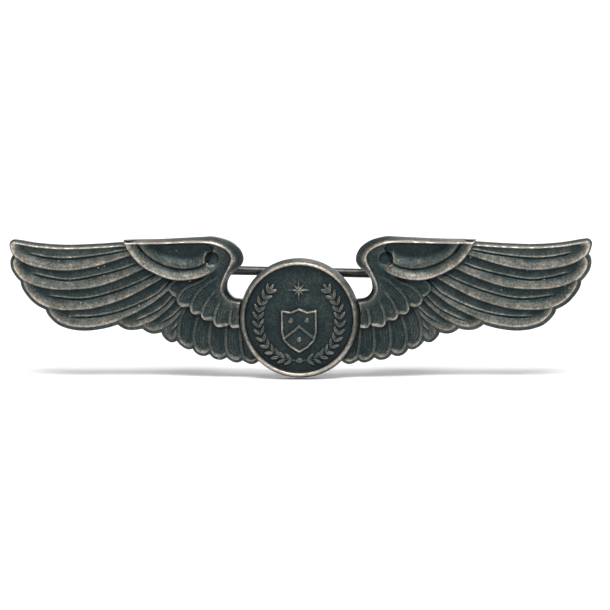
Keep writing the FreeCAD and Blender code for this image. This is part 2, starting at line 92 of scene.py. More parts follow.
# Feathers, lowest first: the visible edge, the corners hidden under its neighbours, the shaft, then the
# height of its surface, the height of its rolled lip and the width of flange outside it. The topmost has a
# bead along its top, and the number of the edge point where its lower edge begins.
LONG_FEATHERS = [
    {"edge": [(18.0, -1.2), (17.85, -2.1), (17.0, -2.8), (16.2, -2.4), (15.6, -1.2)],
     "hidden": [(15.5, 1.0), (18.5, 0.0)], "shaft": [(16.2, -0.8), (16.9, -1.6), (17.2, -2.2)],
     "base": 1.05, "lip": 0.24, "flange": 0.36},
    {"edge": [(20.8, -0.3), (20.45, -1.15), (19.2, -1.62), (17.3, -0.95), (15.7, 0.5), (15.0, 1.3)],
     "hidden": [(15.0, 4.0), (21.5, 1.5)], "shaft": [(15.6, 1.6), (17.0, 0.3), (18.9, -0.75)],
     "base": 1.1, "lip": 0.28, "flange": 0.4},
    {"edge": [(24.2, 0.4), (23.9, -0.4), (22.7, -1.08), (21.0, -0.95), (19.0, -0.1), (17.0, 1.5),
              (16.0, 2.7)],
     "hidden": [(16.0, 6.0), (25.0, 2.0)], "shaft": [(16.4, 3.4), (18.0, 1.7), (20.0, 0.5), (22.3, -0.4)],
     "base": 1.15, "lip": 0.3, "flange": 0.42},
    {"edge": [(33.3, 1.9), (32.9, 0.7), (31.6, -0.5), (29.5, -1.1), (27.0, -1.05), (24.0, -0.3), (20.0, 1.6),
              (17.0, 3.8)],
     "hidden": [(16.5, 6.5), (33.0, 3.5)],
     "shaft": [(17.2, 4.9), (19.0, 3.25), (23.0, 1.35), (27.0, 0.42), (30.9, 0.35)],
     "base": 1.2, "lip": 0.36, "flange": 0.46},
    {"edge": [(36.5, 5.6), (36.2, 4.1), (34.7, 2.3), (32.5, 1.32), (30.0, 1.12), (27.0, 1.42), (23.0, 2.65),
              (19.0, 4.7), (16.5, 6.3)],
     "hidden": [(17.5, 8.0), (36.0, 7.0)],
     "shaft": [(18.4, 6.45), (21.0, 5.0), (25.0, 3.5), (29.0, 2.72), (33.9, 3.2)],
     "base": 1.28, "lip": 0.38, "flange": 0.46},
    {"edge": [(37.3, 8.5), (37.75, 7.6), (37.5, 6.4), (36.3, 5.05), (34.0, 4.15), (31.0, 3.83), (27.0, 4.15),
              (23.0, 5.45), (19.5, 7.0)],
     "hidden": [(20.5, 8.8), (36.5, 9.0)],
     "shaft": [(20.4, 7.9), (23.0, 6.8), (27.0, 5.75), (31.0, 5.25), (36.0, 6.25)],
     "base": 1.36, "lip": 0.4, "flange": 0.44},
    {"edge": [(21.8, 10.0), (27.0, 9.66), (31.0, 9.55), (34.5, 9.8), (37.0, 10.2), (37.85, 10.2),
              (38.05, 9.5), (37.3, 8.1), (35.0, 6.95), (31.0, 6.38), (27.0, 6.88), (22.0, 8.4)],
     "hidden": [], "shaft": [(22.3, 9.25), (26.0, 8.55), (30.0, 8.1), (33.0, 8.2), (36.2, 8.85)],
     "base": 1.45, "lip": 0.42, "flange": 0.2, "bead": 5},
]

# Short feathers, two overlapping rows: edge from the root down the outer side and round the tip.
LOWER_ROW = [
    {"edge": [(15.2, 1.8), (15.9, 0.3), (16.2, -1.5), (15.9, -2.9), (14.7, -3.75), (13.6, -3.1)],
     "hidden": [(12.0, -2.0), (12.0, 2.0)], "flange": 0.36},
    {"edge": [(13.4, 1.0), (14.0, -0.8), (14.25, -2.6), (13.7, -4.15), (12.6, -4.6), (11.4, -3.8)],
     "hidden": [(10.5, -3.0), (10.5, 1.0)], "flange": 0.36},
    {"edge": [(11.8, 0.3), (12.1, -1.4), (12.15, -3.3), (11.5, -4.75), (10.4, -5.1), (9.2, -4.3)],
     "hidden": [(8.0, -3.0), (8.0, 0.0)], "flange": 0.36},
    {"edge": [(9.8, -0.4), (10.0, -2.2), (9.9, -4.2), (9.2, -5.15), (8.2, -5.45), (7.1, -4.6)],
     "hidden": [(6.0, -3.0), (6.0, 0.0)], "flange": 0.36},
    {"edge": [(8.0, -1.0), (8.05, -2.8), (7.75, -4.8), (7.0, -5.5), (6.2, -5.65), (5.2, -5.0)],
     "hidden": [(4.5, -4.0), (4.5, 0.0)], "flange": 0.36},
]
UPPER_ROW = [
    {"edge": [(15.6, 5.9), (17.0, 4.9), (17.35, 4.1), (16.95, 3.35), (16.1, 2.85), (15.2, 3.0)],
     "hidden": [(14.0, 3.5), (14.0, 6.3)]},
    {"edge": [(12.2, 5.9), (13.4, 5.1), (14.8, 4.5), (15.8, 3.65), (16.25, 2.75), (15.95, 1.95), (15.2, 1.55),
              (14.2, 1.7)],
     "hidden": [(12.5, 3.0), (11.2, 6.4)]},
    {"edge": [(10.9, 5.7), (12.1, 5.0), (13.2, 4.1), (14.05, 3.0), (14.45, 1.9), (14.4, 1.1), (13.85, 0.6),
              (12.8, 0.65)],
     "hidden": [(11.0, 2.0), (10.2, 5.6)]},
    {"edge": [(10.2, 5.0), (11.3, 3.85), (12.3, 2.6), (12.95, 1.3), (13.0, 0.45), (12.5, -0.15),
              (11.3, -0.2)],
     "hidden": [(9.8, 1.5), (9.4, 4.9)]},
    {"edge": [(9.7, 4.0), (10.6, 2.6), (11.2, 1.3), (11.45, 0.2), (11.3, -0.65), (10.7, -1.1), (9.5, -0.95)],
     "hidden": [(8.4, 0.5), (8.8, 3.9)]},
    {"edge": [(8.5, 2.9), (9.1, 1.6), (9.4, 0.3), (9.35, -0.6), (8.8, -1.2), (7.6, -1.15)],
     "hidden": [(5.5, -1.0), (5.5, 2.6)]},
]

# Shoulder: a crescent band round a hollow teardrop, with a scroll eye at its inner end.
CRESCENT = {
    "edge": [(23.0, 10.25), (22.5, 9.0), (21.0, 7.2), (19.0, 6.0), (17.0, 5.25), (15.2, 5.08), (13.3, 5.38),
             (11.7, 6.0), (10.75, 6.75), (10.5, 7.3)],
    "hidden": [(10.7, 8.6), (11.2, 10.4), (23.0, 10.5)],
}
TEARDROP = {
    "edge": [(21.4, 10.2), (20.5, 8.8), (19.0, 7.62), (17.0, 6.78), (15.0, 6.5), (13.4, 6.75), (12.4, 7.2),
             (11.9, 7.6)],
    "hidden": [(11.6, 8.4), (11.2, 9.4), (12.0, 10.3)],
}
ROOTS = [(15.5, 6.5), (15.5, 4.0), (12.0, 2.0), (9.0, 1.0), (7.0, 1.0), (7.0, 2.6), (9.6, 4.0), (9.0, 8.0)]
LOWER_RIDGES = (0.4, 0.75, 1.1, 1.45)   # the fine ridges' distances from a short feather's outer side
UPPER_RIDGES = (0.38, 0.72, 1.06, 1.4)
LOWER_BASE = 1.14        # height of the short feathers' surface in each row
UPPER_BASE = 1.44
ROOTS_HEIGHT = 1.42
LONG_LIP = (0.28, 1.3)   # width of a long feather's rolled edge and of the slope behind it
TOP_BEAD = (0.34, 0.2, 0.22)   # height, width and slope of the bead along the top feather
SHORT_LIP = (0.19, 0.17, 0.45)  # the same three for a short feather's edge
RIDGE_HEIGHT = 0.1
RIDGE_WIDTH = 0.075
RIDGE_END = (0.5, 2.0)   # the ridges die away between these distances from the feather's tip
TIP_PAD = 0.11           # the raised tip of a short feather
TIP_PAD_SPREAD = 1.1     # mm2
SHAFT_HEIGHT = 0.2
SHAFT_END = 1.6          # a shaft dies away over this length at its outer end
SHAFT_FALL = 0.75        # and over about this width above it
SHAFT_CREST = (0.4, 0.07, 0.08)    # share of the shaft's height, place above it and width of its crest
SHAFT_GROOVE = (0.45, -0.13, 0.1)  # the same for the groove, which lies below it
VANE_WEAR_AND_SHADE = (0.005, 0.035)   # added to the wear above and below a long feather's shaft: the lighter vane below is wear, the darker vane above is painted shade under the feather above
SHORT_TONE = -0.035
NECK_TONE = -0.06
# painted highlight: lightens the whole crescent band for the light its lip catches
BAND_PAINTED_LIGHT = 0.03
# painted shade: darkens the teardrop's hollow
HOLLOW_PAINTED_SHADE = -0.05
NECK_TOP = 1.8           # height of the neck beside the rim, and how fast it falls away
NECK_FALL = 0.24
NECK_EASE = 0.16         # it falls this much less steeply high up, and changes between these heights
NECK_BEND = (5.0, 7.0)
NECK_END = 22.0          # the neck reaches this far outward
BAND = (1.66, 0.44, 0.34, 1.1)   # the crescent's height, its lip's height and width, and the slope behind it
BAND_END = (10.6, 12.8)  # the lip dies away between these distances outward
HOLLOW = (1.36, 0.62, 0.42, 1.5)   # the same for the teardrop
HOLLOW_END = (11.2, 12.4)
RIM_TOP = 2.28           # height of the shoulder's rim, and how much lower it ends beside the disc
RIM_FALL = 0.55
RIM_FALL_FROM = 8.0      # it sinks between these distances from that end
RIM_FALL_TO = 1.0
RIM_INNER_END = 6.0
RIM_OUTER_END = 22.9
RIM_WIDTH = 0.15
RIM_SKIRT = (0.3, 0.7)   # share of the rim's height that spreads inward, and about how far
SLOPE_END = 23.0         # the slope outside the rim reaches this far outward
SLOPE_MIX = (0.3, 0.7)   # its straight and its rounded share
GROOVE_DEPTH = 0.1
GROOVE_WIDTH = 0.12
EYE_DEPTH = 0.42
EYE_WALL = (-0.1, 0.14)  # its wall runs from just outside its edge to just inside it
EYE_FLOOR = (0.75, 0.2, 0.35)   # share of the depth at its middle, and what it gains outward and upward
GROOVE = [(21.75, 10.45), (21.3, 9.9), (20.6, 8.95)]
EYE = (11.45, 7.95)
EYE_R = 0.9
RIM = [(22.9, 10.08), (18.0, 10.1), (14.0, 10.22), (11.6, 10.12), (9.9, 9.55), (8.95, 8.7), (8.8, 7.7),
       (9.4, 6.4), (10.05, 4.9), (10.15, 3.7), (9.3, 2.5), (8.0, 2.15), (6.5, 2.1)]
SHOULDER_OUTLINE = [(23.1, 10.25), (22.7, 10.4), (18.0, 10.5), (13.0, 10.74), (11.2, 10.77), (9.2, 10.2),
                    (7.9, 9.2), (7.4, 8.0), (7.7, 7.0), (8.9, 5.9), (9.5, 4.8), (9.45, 3.7), (8.7, 2.8),
                    (7.4, 2.55)]
TONGUE = [(6.9, 2.6), (6.8, 2.2), (0.05, 2.2), (0.05, -4.6), (6.0, -5.0)]
OVERLAP = [(12.5, -1.5), (18.0, 3.5), (23.0, 8.8)]


def on_wing(points):
    """Drawn points brought to the wing's true size and place."""
    return np.array(points, float).reshape(-1, 2) * FIT - (0, WING_DROP)


def spline(points, steps=7):
    """A smooth curve through the points."""
    p = np.vstack([2 * points[0] - points[1], points, 2 * points[-1] - points[-2]])
    t = np.linspace(0, 1, steps, endpoint=False)[:, None]
    run = []
    for a, b, c, d in zip(p, p[1:], p[2:], p[3:]):
        square = (2 * a - 5 * b + 4 * c - d) * t ** 2
        cube = (3 * b - a - 3 * c + d) * t ** 3
        run.append(b + 0.5 * ((c - a) * t + square + cube))
    return np.vstack(run + [p[-2:-1]])


def nearest(u, v, line):
    """Distance of each point to a line, the side it is on, and how far along the line its foot is."""
    best = np.full(u.shape, 1e9)
    side = np.zeros(u.shape)
    along = np.zeros(u.shape)
    start = 0.0
    for (x0, y0), (x1, y1) in zip(line, line[1:]):
        dx, dy = x1 - x0, y1 - y0
        length = math.hypot(dx, dy)
        t = np.clip(((u - x0) * dx + (v - y0) * dy) / length ** 2, 0, 1)
        gap = np.hypot(u - x0 - t * dx, v - y0 - t * dy)
        closer = gap < best
        best = np.where(closer, gap, best)
        side = np.where(closer, np.sign(dx * (v - y0) - dy * (u - x0)), side)
        along = np.where(closer, start + t * length, along)
        start += length
    return best, side, along, start


def inside(u, v, polygon):
    """Whether each point lies in a closed polygon."""
    hit = np.zeros(u.shape, bool)
    for (x0, y0), (x1, y1) in zip(polygon, np.roll(polygon, -1, 0)):
        if y0 != y1:
            hit ^= ((y0 > v) != (y1 > v)) & (u < (x1 - x0) * (v - y0) / (y1 - y0) + x0)
    return hit


def depth_in(u, v, edge, hidden):
    """Distance inside the visible edge of a closed shape, negative outside it."""
    line = spline(on_wing(edge))
    closed = np.vstack([line, on_wing(hidden)])
    gap = nearest(u, v, line)[0]
    return np.where(inside(u, v, closed), gap, -gap)


def ease(x, low, high):
    """0 below low, 1 above high, smooth between."""
    t = np.clip((x - low) / (high - low), 0, 1)
    return t * t * (3 - 2 * t)


def bump(x, centre, width):
    """A smooth bump, 1 at its centre."""
    return np.exp(-((x - centre) / width) ** 2)


def lip(depth, width, reach, keep=0.12):
    """A rolled edge: up steeply to a crown, then a long slope down behind it."""
    rise = np.sqrt(1 - (1 - np.clip(depth / width, 0, 1)) ** 2)
    return rise * (1 - (1 - keep) * ease(depth, width, width + reach))


def shaft(u, v, points):
    """A feather's shaft, a fine ridge with a groove under it, and 1 where the vane lies below it."""
    gap, side, along, length = nearest(u, v, spline(on_wing(points)))
    above = gap * side
    fade = ease(length - along, 0.0, SHAFT_END)
    step = ease(above, -0.05, 0.06) * np.exp(-np.clip(above, 0, None) / SHAFT_FALL)
    groove = SHAFT_GROOVE[0] * bump(above, *SHAFT_GROOVE[1:])
    crest = SHAFT_CREST[0] * bump(above, *SHAFT_CREST[1:])
    return SHAFT_HEIGHT * fade * (step + crest - groove), ease(-above, -0.02, 0.1)


def blur(field, radius):
    """A Gaussian blur by radius grid steps."""
    reach = int(3 * radius + 1)
    kernel = np.exp(-0.5 * (np.arange(-reach, reach + 1) / radius) ** 2)
    kernel /= kernel.sum()
    for axis in (0, 1):
        pad = [(reach, reach) if a == axis else (0, 0) for a in (0, 1)]
        wide = np.pad(field, pad, mode="edge")
        count = field.shape[axis]
        field = sum(w * np.take(wide, np.arange(k, k + count), axis) for k, w in enumerate(kernel))
    return field


def lay(fields, u, v, shape, surface, outline=None):
    """Lays one shape's height and tone over the fields, and widens the outline, if given, by its flange."""
    edge = on_wing(shape["edge"] + shape["hidden"])
    low, high = edge.min(0) - MARGIN, edge.max(0) + MARGIN
    rows = slice(*np.searchsorted(u[:, 0], [low[0], high[0]]))
    columns = slice(*np.searchsorted(v[0], [low[1], high[1]]))
    part = (rows, columns)
    depth = depth_in(u[part], v[part], shape["edge"], shape["hidden"])
    cover = ease(depth, -BLEND, BLEND)
    for field, value in zip(fields, surface(u[part], v[part], depth)):
        field[part] = field[part] * (1 - cover) + value * cover
    if outline is not None:
        outline[part] = np.maximum(outline[part], depth + shape["flange"])


def long_feather(shape):
    """A long feather: a rolled lower edge and a shaft. The topmost also has a narrow bead along its top."""
    def surface(u, v, depth):
        ridge, below = shaft(u, v, shape["shaft"])
        vane = shape["base"] + ridge
        # painted shade keeps the vane above the shaft darker; the lighter vane below is wear
        tone = VANE_WEAR_AND_SHADE[0] + (VANE_WEAR_AND_SHADE[1] - VANE_WEAR_AND_SHADE[0]) * below
        if "bead" not in shape:
            return vane + shape["lip"] * lip(depth, *LONG_LIP), tone
        under = nearest(u, v, spline(on_wing(shape["edge"][shape["bead"]:])))[0]
        bead_height, bead_width, bead_slope = TOP_BEAD
        bead = bead_height * lip(depth, bead_width, bead_slope, 0.0)
        return vane + np.maximum(shape["lip"] * lip(under, *LONG_LIP), bead), tone
    return surface


def short_feather(shape, base, ridges):
    """A short feather: a thin rolled edge, a raised tip and fine ridges that follow its outer side."""
    outer = spline(on_wing(shape["edge"][:-1]))
    tip = on_wing(shape["edge"][-3:-1]).mean(0)

    def surface(u, v, depth):
        gap, _, along, length = nearest(u, v, outer)
        fade = ease(length - along, *RIDGE_END)
        fine = sum(bump(gap, place, RIDGE_WIDTH) for place in ridges)
        pad = np.exp(-((u - tip[0]) ** 2 + (v - tip[1]) ** 2) / TIP_PAD_SPREAD)
        lip_height, lip_width, lip_slope = SHORT_LIP
        rolled = lip_height * lip(depth, lip_width, lip_slope, 0.1)
        return base + rolled + RIDGE_HEIGHT * fade * fine + TIP_PAD * pad, SHORT_TONE
    return surface


def plain(base, height, width, reach, tone, end):
    """A surface with a rolled edge, which dies away between the two distances outward in end."""
    def surface(u, v, depth):
        return base + ease(u, *end) * height * lip(depth, width, reach), tone
    return surface


def shoulder(fields, outline, u, v):
    """The neck, the crescent, the teardrop in it, the scroll's eye, then the rim and the slope outside it."""
    relief, tone = fields
    edge_line = spline(on_wing(SHOULDER_OUTLINE))
    whole_edge = np.vstack([edge_line, on_wing(TONGUE)])
    body = inside(u, v, np.vstack([whole_edge, on_wing(OVERLAP)]))
    to_whole = nearest(u, v, whole_edge)[0]
    outline[:] = np.maximum(outline, np.where(body, to_whole, -to_whole))
    to_edge = nearest(u, v, edge_line)[0]
    to_rim, side, along, length = nearest(u, v, spline(on_wing(RIM)))
    fall = NECK_FALL - NECK_EASE * ease(v, *NECK_BEND)
    neck = np.where(body & (u < NECK_END), NECK_TOP - fall * to_rim, 0)
    tone[:] = np.where(neck > relief, NECK_TONE, tone)
    relief[:] = np.maximum(relief, neck)
    # the crescent's tone is a painted highlight
    lay(fields, u, v, CRESCENT, plain(*BAND, BAND_PAINTED_LIGHT, BAND_END))
    # the teardrop's tone is painted shade
    lay(fields, u, v, TEARDROP, plain(*HOLLOW, HOLLOW_PAINTED_SHADE, HOLLOW_END))
    du, dv = ((u, v) - on_wing(EYE)[0][:, None, None]) / EYE_R
    middle, outward, upward = EYE_FLOOR
    recess = ease(EYE_R - EYE_R * np.hypot(du, dv), *EYE_WALL) * (middle + outward * du + upward * dv)
    relief -= EYE_DEPTH * np.clip(recess, 0, 1)
    rim_height = RIM_TOP - RIM_FALL * ease(along, length - RIM_FALL_FROM, length - RIM_FALL_TO)
    outer = (side < 0) & body & (u < SLOPE_END) & (u > RIM_INNER_END)
    share = to_edge / (to_edge + to_rim + 1e-9)
    climb = SLOPE_MIX[0] * share + SLOPE_MIX[1] * np.sin(share * math.pi / 2)
    slope = FLANGE + (rim_height - FLANGE) * climb
    rise = bump(to_rim, 0.0, RIM_WIDTH) + RIM_SKIRT[0] * np.exp(-to_rim / RIM_SKIRT[1])
    crest = np.maximum(rim_height - relief, 0) * np.minimum(rise, 1) * (u < RIM_OUTER_END)
    relief[:] = np.where(outer, slope, relief + crest)
    relief -= GROOVE_DEPTH * bump(nearest(u, v, spline(on_wing(GROOVE)))[0], 0.0, GROOVE_WIDTH)


def wing_relief():
    """Height, tone and signed distance to the outline over the grid of one wing."""
    u, v = np.meshgrid(np.arange(*WING_SPAN, WING_STEP), np.arange(*WING_RISE, WING_STEP), indexing="ij")
    relief = np.full(u.shape, FLANGE)
    tone = np.zeros(u.shape)
    fields = (relief, tone)
    outline = np.full(u.shape, -5.0)
    for shape in LONG_FEATHERS:
        lay(fields, u, v, shape, long_feather(shape), outline)
    for shape in LOWER_ROW:
        lay(fields, u, v, shape, short_feather(shape, LOWER_BASE, LOWER_RIDGES), outline)
    relief[inside(u, v, on_wing(ROOTS))] = ROOTS_HEIGHT
    for shape in UPPER_ROW:
        lay(fields, u, v, shape, short_feather(shape, UPPER_BASE, UPPER_RIDGES))
    shoulder(fields, outline, u, v)
    under_disc = ease(DISC_R + DISC_CLEAR - np.hypot(u, v), -0.03, 0.03)
    relief = relief * (1 - under_disc) + DISC_BACK * under_disc
    return u, v, blur(relief, RELIEF_BLUR), blur(tone, TONE_BLUR), outline


def snapped(u, v, outline):
    """The grid's points, with those just outside the outline pulled onto it, and the cells to keep."""
    step = u[1, 0] - u[0, 0]
    slope_u, slope_v = np.gradient(outline, step)
    steep = np.maximum(slope_u ** 2 + slope_v ** 2, 0.25)
    out = np.clip(outline, -1.5 * step, 0)
    inner = outline > 0
    cells = inner[:-1, :-1] | inner[1:, :-1] | inner[:-1, 1:] | inner[1:, 1:]
    return u - out * slope_u / steep, v - out * slope_v / steep, cells


def relief_mesh(name, u, v, relief, outline, wear_and_light, side=1, back=0.0):
    """A closed body: the relief, a side wall down to the height of its back, and a flat back."""
    pu, pv, cells = snapped(u, v, outline)
    edge_drop = EDGE_ROUND * (1 - np.sqrt(1 - (1 - np.clip(outline / EDGE_ROUND, 0, 1)) ** 2))
    height = relief - edge_drop
    used = np.zeros(u.shape, bool)
    for shift in ((0, 0), (1, 0), (0, 1), (1, 1)):
        used[shift[0]:u.shape[0] - 1 + shift[0], shift[1]:u.shape[1] - 1 + shift[1]] |= cells
    index = np.full(u.shape, -1)
    index[used] = np.arange(used.sum())
    points = np.stack([side * pu[used], BACK_Y - height[used], pv[used]], 1) * MM
    i, j = np.nonzero(cells)
    quads = np.stack([index[i, j], index[i + 1, j], index[i + 1, j + 1], index[i, j + 1]], 1)
    if side < 0:
        quads = quads[:, ::-1]
    points, faces = list(points), quads.tolist()
    for loop in boundary_loops(quads):
        first = len(points)
        count = len(loop)
        for k in loop:
            points.append(np.array([points[k][0], (BACK_Y - back) * MM, points[k][2]]))
        for k in range(count):
            after = (k + 1) % count
            faces.append([loop[after], loop[k], first + k, first + after])
        faces.append(list(range(first, first + count))[::-1])
    mesh = bpy.data.meshes.new(name)
    mesh.from_pydata([tuple(p) for p in points], [], faces)
    mesh.validate()
    obj = bpy.data.objects.new(name, mesh)
    bpy.context.scene.collection.objects.link(obj)
    # the back gets the painted light value, and the side walls blend to it from the front
    values = np.full(len(mesh.vertices), BACK_PAINTED_LIGHT, np.float32)
    values[:used.sum()] = wear_and_light[used]
    mesh.attributes.new("wear_and_light", "FLOAT", "POINT").data.foreach_set("value", values)
    mesh.shade_smooth()
    mesh.set_sharp_from_angle(angle=SHARP_ANGLE)
    return obj


def boundary_loops(quads):
    """The closed loops of edges that only one quad uses, in the quads' own direction."""
    edges = np.concatenate([quads[:, [k, (k + 1) % 4]] for k in range(4)])
    known = set(map(tuple, edges.tolist()))
    after = {}
    for a, b in known:
        if (b, a) not in known:
            after.setdefault(a, []).append(b)
    loops = []
    while after:
        start = next(iter(after))
        loop, here = [], start
        while here in after:
            loop.append(here)
            following = after[here].pop()
            if not after[here]:
                del after[here]
            here = following
        loops.append(loop)
    return loops


WEAR_SCALES = ((2.5, 0.9), (11.0, 0.38), (32.0, 0.16))   # grid steps looked around, and each one's weight
DARKEST = 0.38           # the lowest wear in a hollow, below 0
EDGE_LIFT = 0.4          # how much higher the lowest wear is near the outline
EDGE_BAND = 0.75         # from here to the outline, mm, and how soon that lift is full
EDGE_FADE = 0.35
DENT_SIZES = (3.0, 9.0)  # grid steps


def worn(relief, outline):
    """How far each point stands above its surroundings, mm: the polished places are positive."""
    on = (outline > 0).astype(float)
    wear_and_light = np.zeros(relief.shape)
    for radius, weight in WEAR_SCALES:
        wear_and_light += weight * (relief - blur(relief * on, radius) / (blur(on, radius) + 1e-6))
    least = EDGE_LIFT * ease(EDGE_BAND - outline, 0.0, EDGE_FADE) - DARKEST
    return on * np.maximum(wear_and_light, least)


def uneven(shape, seed):
    """The slight unevenness of a struck surface, about one unit high: two sizes of seeded noise."""
    noise = np.random.default_rng(seed).normal(size=shape)
    layers = [blur(noise, size) for size in DENT_SIZES]
    return sum(layer / layer.std() for layer in layers)


def build_wings():
    """The two struck wings, mirrored, each with its own slight unevenness."""
    u, v, struck, tone, outline = wing_relief()
    for name, side in (("left", -1), ("right", 1)):
        relief = struck + UNEVEN * uneven(struck.shape, 2 + side)
        # the tone carries painted shade in the teardrop and above the shafts, and a painted highlight on the
        # crescent
        wear_and_light = worn(relief, outline) + tone
        wing = relief_mesh("struck_wing_" + name, u, v, relief, outline, wear_and_light, side)
        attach(wing, "badge")
        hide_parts(name + "_wing")
        wing.data.materials.append(wing_silver)


# Disc: the rim and field, then the device in relief.
DISC_STEP = 0.055
DISC_BLUR = 0.6          # grid steps
WALL_TOP_R = 7.6
WALL_LOW = 1.45
WALL_TOP = 2.7
BEAD_R = 7.28
BEAD_HALF = 0.28
RIM_WEAR_AND_LIGHT = (0.16, 0.3)   # most the bead is worn, at its sides and at its top and foot; the higher cap at the top and foot is painted light, where the ring faces light from above
FIELD_DEPTH = 2.4
SHIELD = [(-2.2, 1.0), (-1.1, 0.8), (0.0, 1.25), (1.1, 0.8), (2.2, 1.0), (2.2, -1.7), (1.9, -2.8),
          (1.1, -3.65), (0.0, -4.3), (-1.1, -3.65), (-1.9, -2.8), (-2.2, -1.7)]
ROSE = (0.0, 3.75)
ROSE_HUB = (0.34, 0.38)               # half width and height of its boss
ROSE_HALF = 0.4                       # half the width of a point where it leaves the middle
ROSE_HEIGHT = 0.32
ROSE_STEEP = 1.6                      # how steeply a point rises from its edges to its flat top
ROSE_POINTS = ((0, 1.75), (45, 1.1))  # turn in degrees and reach of the long and the short points
SHIELD_FIELD = 0.12                   # heights above the disc's field
SHIELD_BORDER = (0.2, 0.36)           # half width and height, as are the chevron's and the bosses'
CHEVRON = (0.32, 0.34)
CHEVRON_TOP = -1.0
CHEVRON_SLOPE = 0.8
BOSS = (0.42, 0.34)
BOSSES = ((-1.05, -0.25), (1.05, -0.25), (0.0, -2.75))
BRANCH = [(0.5, -5.5), (2.3, -5.15), (3.9, -4.0), (4.95, -2.2), (5.3, -0.1), (4.95, 1.9), (3.9, 3.6)]
BRANCH_STEPS = 24                     # curve points between two of those
STEM = (0.08, 0.16)                   # half width and height
LEAF_PAIRS = 13
FIRST_PAIR = 6                        # the curve points that bear the first pair of leaves and the last,
LAST_PAIR = -4                        # which is counted from the branch's end
LEAF_TURN = 0.62                      # a leaf's angle to the stem, radians
LEAF = (1.3, 0.28, 0.3)               # length, half width and height of a leaf
END_LEAF = (1.2, 0.25, 0.3)
LEAF_POINT = 0.7                      # 1 gives a leaf long sharp ends, and less gives it fuller ones
MIDRIB = (0.45, 0.05)                 # share of a leaf's height that is cut away, and the cut's width
KNOT_Z = -5.5                         # a small boss where the two branches meet
KNOT = (0.42, 0.3)
KNOT_STRETCH = 1.3                    # it is this much wider than high


def disc_relief():
    """Height and signed distance to the outline over the disc."""
    reach = DISC_R + 0.3
    places = np.arange(-reach, reach, DISC_STEP)
    x, z = np.meshgrid(places, places, indexing="ij")
    r = np.hypot(x, z)
    bead = np.sqrt(np.clip(1 - ((r - BEAD_R) / BEAD_HALF) ** 2, 0, 1))
    relief = FIELD_DEPTH + (RIM_DEPTH - FIELD_DEPTH) * bead
    wall = WALL_TOP - (WALL_TOP - WALL_LOW) * np.clip((r - WALL_TOP_R) / (DISC_R - WALL_TOP_R), 0, 1)
    relief = np.where(r > WALL_TOP_R, wall, np.where(r > BEAD_R, np.maximum(relief, WALL_TOP), relief))
    relief += device(x, z)
    return x, z, blur(relief, DISC_BLUR), DISC_R - r


def raise_to(height, shape):
    """Lifts the relief to a shape wherever the shape is higher."""
    np.maximum(height, shape, out=height)


def rounded(gap, half_width, top):
    """The height of a round-topped bar at a distance from its middle line."""
    return top * np.sqrt(np.clip(1 - (gap / half_width) ** 2, 0, 1))


def leaf(height, x, z, foot, angle, length, half_width, top):
    """A pointed leaf with a sunk midrib, growing from foot along angle in radians from +X."""
    along = (x - foot[0]) * math.cos(angle) + (z - foot[1]) * math.sin(angle)
    across = np.abs((z - foot[1]) * math.cos(angle) - (x - foot[0]) * math.sin(angle))
    half = half_width * np.sin(np.clip(along / length, 0, 1) * math.pi) ** LEAF_POINT + 1e-6
    body = rounded(across, half, top) * (along > 0) * (along < length)
    raise_to(height, body * (1 - MIDRIB[0] * bump(across, 0, MIDRIB[1])))


def shield(height, x, z):
    """A plain shield: raised border, a chevron and three round bosses."""
    outline = np.array(SHIELD)
    gap = nearest(x, z, np.vstack([outline, outline[:1]]))[0]
    body = inside(x, z, outline)
    raise_to(height, SHIELD_FIELD * body)
    raise_to(height, rounded(gap, *SHIELD_BORDER))
    to_chevron = np.abs(z - CHEVRON_TOP + CHEVRON_SLOPE * np.abs(x))
    raise_to(height, body * rounded(to_chevron, *CHEVRON))
    for boss_x, boss_z in BOSSES:
        raise_to(height, rounded(np.hypot(x - boss_x, z - boss_z), *BOSS))


def compass_rose(height, x, z):
    """A compass rose on its own: four long and four short faceted points round a small boss."""
    dx, dz = x - ROSE[0], z - ROSE[1]
    raise_to(height, rounded(np.hypot(dx, dz), *ROSE_HUB))
    for turn, reach in ROSE_POINTS:
        t = math.radians(turn)
        a = np.abs(dx * math.cos(t) + dz * math.sin(t))
        b = np.abs(dz * math.cos(t) - dx * math.sin(t))
        for along, across in ((a, b), (b, a)):
            point = np.clip(1 - along / reach - across / ROSE_HALF, 0, 1)
            raise_to(height, ROSE_HEIGHT * np.minimum(1, ROSE_STEEP * point))


def laurel(height, x, z):
    """One laurel branch: a thin stem with pairs of leaves and a single leaf at its end."""
    stem = spline(np.array(BRANCH), BRANCH_STEPS)
    raise_to(height, rounded(nearest(x, z, stem)[0], *STEM))
    places = np.linspace(FIRST_PAIR, len(stem) + LAST_PAIR, LEAF_PAIRS).astype(int)
    for k in places:
        way = stem[k + 1] - stem[k - 1]
        angle = math.atan2(way[1], way[0])
        for turn in (-LEAF_TURN, LEAF_TURN):
            leaf(height, x, z, stem[k], angle + turn, *LEAF)
    leaf(height, x, z, stem[-1], angle, *END_LEAF)


def device(x, z):
    """The generic device on the field: a shield in a laurel wreath under a compass rose."""
    height = np.zeros(x.shape)
    laurel(height, np.abs(x), z)
    raise_to(height, rounded(np.hypot(x / KNOT_STRETCH, z - KNOT_Z), *KNOT))
    shield(height, x, z)
    compass_rose(height, x, z)
    return height


